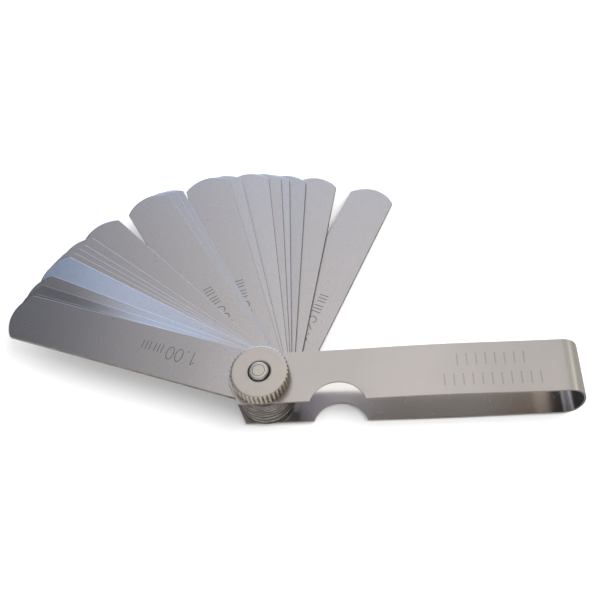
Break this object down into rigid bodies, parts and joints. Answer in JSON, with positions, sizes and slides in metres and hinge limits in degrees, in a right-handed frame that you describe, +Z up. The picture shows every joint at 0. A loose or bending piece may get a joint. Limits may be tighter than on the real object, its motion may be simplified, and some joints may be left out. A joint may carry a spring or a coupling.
{
  "type": "feeler gauge",
  "caption": "Folding feeler gauge: thin steel measuring leaves fan out on one pivot from a bent strip holder with a finger notch, locked by a knurled nut.",
  "frame": {"origin": "on the pivot's axis, at the underside of the screw's head, which is the flat the tool rests on", "axes": "+X along the holder from the pivot to the bend, +Z up the pivot towards the knurled nut, +Y towards the side the leaves are fanned out over"},
  "size_m": [0.1435, 0.0781, 0.0174],
  "materials": {
    "holder_sheet": "satin plated sheet, faintly brushed along its length",
    "leaf_steel": "fine ground hardened steel, satin",
    "nut_steel": "turned and knurled, plated",
    "screw_steel": "turned, plated, with a polished end chamfer"
  },
  "bodies": {
    "holder": {"holder": "holder_sheet", "pivot_screw": "screw_steel"},
    "nut": {"knurled_nut": "nut_steel"},
    "leaf_100": {"leaf_100": "leaf_steel"},
    "leaf_004": {"leaf_004": "leaf_steel"},
    "leaf_005": {"leaf_005": "leaf_steel"},
    "leaf_006": {"leaf_006": "leaf_steel"},
    "leaf_007": {"leaf_007": "leaf_steel"},
    "leaf_008": {"leaf_008": "leaf_steel"},
    "leaf_009": {"leaf_009": "leaf_steel"},
    "leaf_010": {"leaf_010": "leaf_steel"},
    "leaf_015": {"leaf_015": "leaf_steel"},
    "leaf_020": {"leaf_020": "leaf_steel"},
    "leaf_025": {"leaf_025": "leaf_steel"},
    "leaf_030": {"leaf_030": "leaf_steel"},
    "leaf_035": {"leaf_035": "leaf_steel"},
    "leaf_040": {"leaf_040": "leaf_steel"},
    "leaf_045": {"leaf_045": "leaf_steel"},
    "leaf_050": {"leaf_050": "leaf_steel"},
    "leaf_055": {"leaf_055": "leaf_steel"},
    "leaf_060": {"leaf_060": "leaf_steel"},
    "leaf_065": {"leaf_065": "leaf_steel"},
    "leaf_070": {"leaf_070": "leaf_steel"},
    "leaf_075": {"leaf_075": "leaf_steel"},
    "leaf_080": {"leaf_080": "leaf_steel"},
    "leaf_085": {"leaf_085": "leaf_steel"},
    "leaf_090": {"leaf_090": "leaf_steel"},
    "leaf_095": {"leaf_095": "leaf_steel"}
  },
  "joints": [
    {"name": "nut_turn", "type": "hinge", "parent": "holder", "child": "nut", "pos_m": [0, 0, 0.01514], "axis": [0, 0, 1], "continuous": true},
    {"name": "leaf_100_swing", "type": "hinge", "parent": "holder", "child": "leaf_100", "pos_m": [0, 0, 0.01231], "axis": [0, 0, 1], "range_deg": [-161.5, 198.5]},
    {"name": "leaf_004_swing", "type": "hinge", "parent": "holder", "child": "leaf_004", "pos_m": [0, 0, 0.01178], "axis": [0, 0, 1], "range_deg": [-160.5, 199.5]},
    {"name": "leaf_005_swing", "type": "hinge", "parent": "holder", "child": "leaf_005", "pos_m": [0, 0, 0.01172], "axis": [0, 0, 1], "range_deg": [-158, 202]},
    {"name": "leaf_006_swing", "type": "hinge", "parent": "holder", "child": "leaf_006", "pos_m": [0, 0, 0.01166], "axis": [0, 0, 1], "range_deg": [-155, 205]},
    {"name": "leaf_007_swing", "type": "hinge", "parent": "holder", "child": "leaf_007", "pos_m": [0, 0, 0.01158], "axis": [0, 0, 1], "range_deg": [-149, 211]},
    {"name": "leaf_008_swing", "type": "hinge", "parent": "holder", "child": "leaf_008", "pos_m": [0, 0, 0.0115], "axis": [0, 0, 1], "range_deg": [-147.5, 212.5]},
    {"name": "leaf_009_swing", "type": "hinge", "parent": "holder", "child": "leaf_009", "pos_m": [0, 0, 0.01141], "axis": [0, 0, 1], "range_deg": [-146, 214]},
    {"name": "leaf_010_swing", "type": "hinge", "parent": "holder", "child": "leaf_010", "pos_m": [0, 0, 0.0113], "axis": [0, 0, 1], "range_deg": [-144.5, 215.5]},
    {"name": "leaf_015_swing", "type": "hinge", "parent": "holder", "child": "leaf_015", "pos_m": [0, 0, 0.01116], "axis": [0, 0, 1], "range_deg": [-142, 218]},
    {"name": "leaf_020_swing", "type": "hinge", "parent": "holder", "child": "leaf_020", "pos_m": [0, 0, 0.01098], "axis": [0, 0, 1], "range_deg": [-142.5, 217.5]},
    {"name": "leaf_025_swing", "type": "hinge", "parent": "holder", "child": "leaf_025", "pos_m": [0, 0, 0.01074], "axis": [0, 0, 1], "range_deg": [-134.5, 225.5]},
    {"name": "leaf_030_swing", "type": "hinge", "parent": "holder", "child": "leaf_030", "pos_m": [0, 0, 0.01046], "axis": [0, 0, 1], "range_deg": [-135, 225]},
    {"name": "leaf_035_swing", "type": "hinge", "parent": "holder", "child": "leaf_035", "pos_m": [0, 0, 0.01013], "axis": [0, 0, 1], "range_deg": [-121, 239]},
    {"name": "leaf_040_swing", "type": "hinge", "parent": "holder", "child": "leaf_040", "pos_m": [0, 0, 0.00974], "axis": [0, 0, 1], "range_deg": [-119, 241]},
    {"name": "leaf_045_swing", "type": "hinge", "parent": "holder", "child": "leaf_045", "pos_m": [0, 0, 0.00931], "axis": [0, 0, 1], "range_deg": [-117.5, 242.5]},
    {"name": "leaf_050_swing", "type": "hinge", "parent": "holder", "child": "leaf_050", "pos_m": [0, 0, 0.00882], "axis": [0, 0, 1], "range_deg": [-118, 242]},
    {"name": "leaf_055_swing", "type": "hinge", "parent": "holder", "child": "leaf_055", "pos_m": [0, 0, 0.00829], "axis": [0, 0, 1], "range_deg": [-106, 254]},
    {"name": "leaf_060_swing", "type": "hinge", "parent": "holder", "child": "leaf_060", "pos_m": [0, 0, 0.0077], "axis": [0, 0, 1], "range_deg": [-103, 257]},
    {"name": "leaf_065_swing", "type": "hinge", "parent": "holder", "child": "leaf_065", "pos_m": [0, 0, 0.00707], "axis": [0, 0, 1], "range_deg": [-103.5, 256.5]},
    {"name": "leaf_070_swing", "type": "hinge", "parent": "holder", "child": "leaf_070", "pos_m": [0, 0, 0.00638], "axis": [0, 0, 1], "range_deg": [-96.5, 263.5]},
    {"name": "leaf_075_swing", "type": "hinge", "parent": "holder", "child": "leaf_075", "pos_m": [0, 0, 0.00564], "axis": [0, 0, 1], "range_deg": [-93.5, 266.5]},
    {"name": "leaf_080_swing", "type": "hinge", "parent": "holder", "child": "leaf_080", "pos_m": [0, 0, 0.00486], "axis": [0, 0, 1], "range_deg": [-91.5, 268.5]},
    {"name": "leaf_085_swing", "type": "hinge", "parent": "holder", "child": "leaf_085", "pos_m": [0, 0, 0.00402], "axis": [0, 0, 1], "range_deg": [-87.5, 272.5]},
    {"name": "leaf_090_swing", "type": "hinge", "parent": "holder", "child": "leaf_090", "pos_m": [0, 0, 0.00314], "axis": [0, 0, 1], "range_deg": [-80, 280]},
    {"name": "leaf_095_swing", "type": "hinge", "parent": "holder", "child": "leaf_095", "pos_m": [0, 0, 0.0022], "axis": [0, 0, 1], "range_deg": [-65.5, 294.5]}
  ]
}
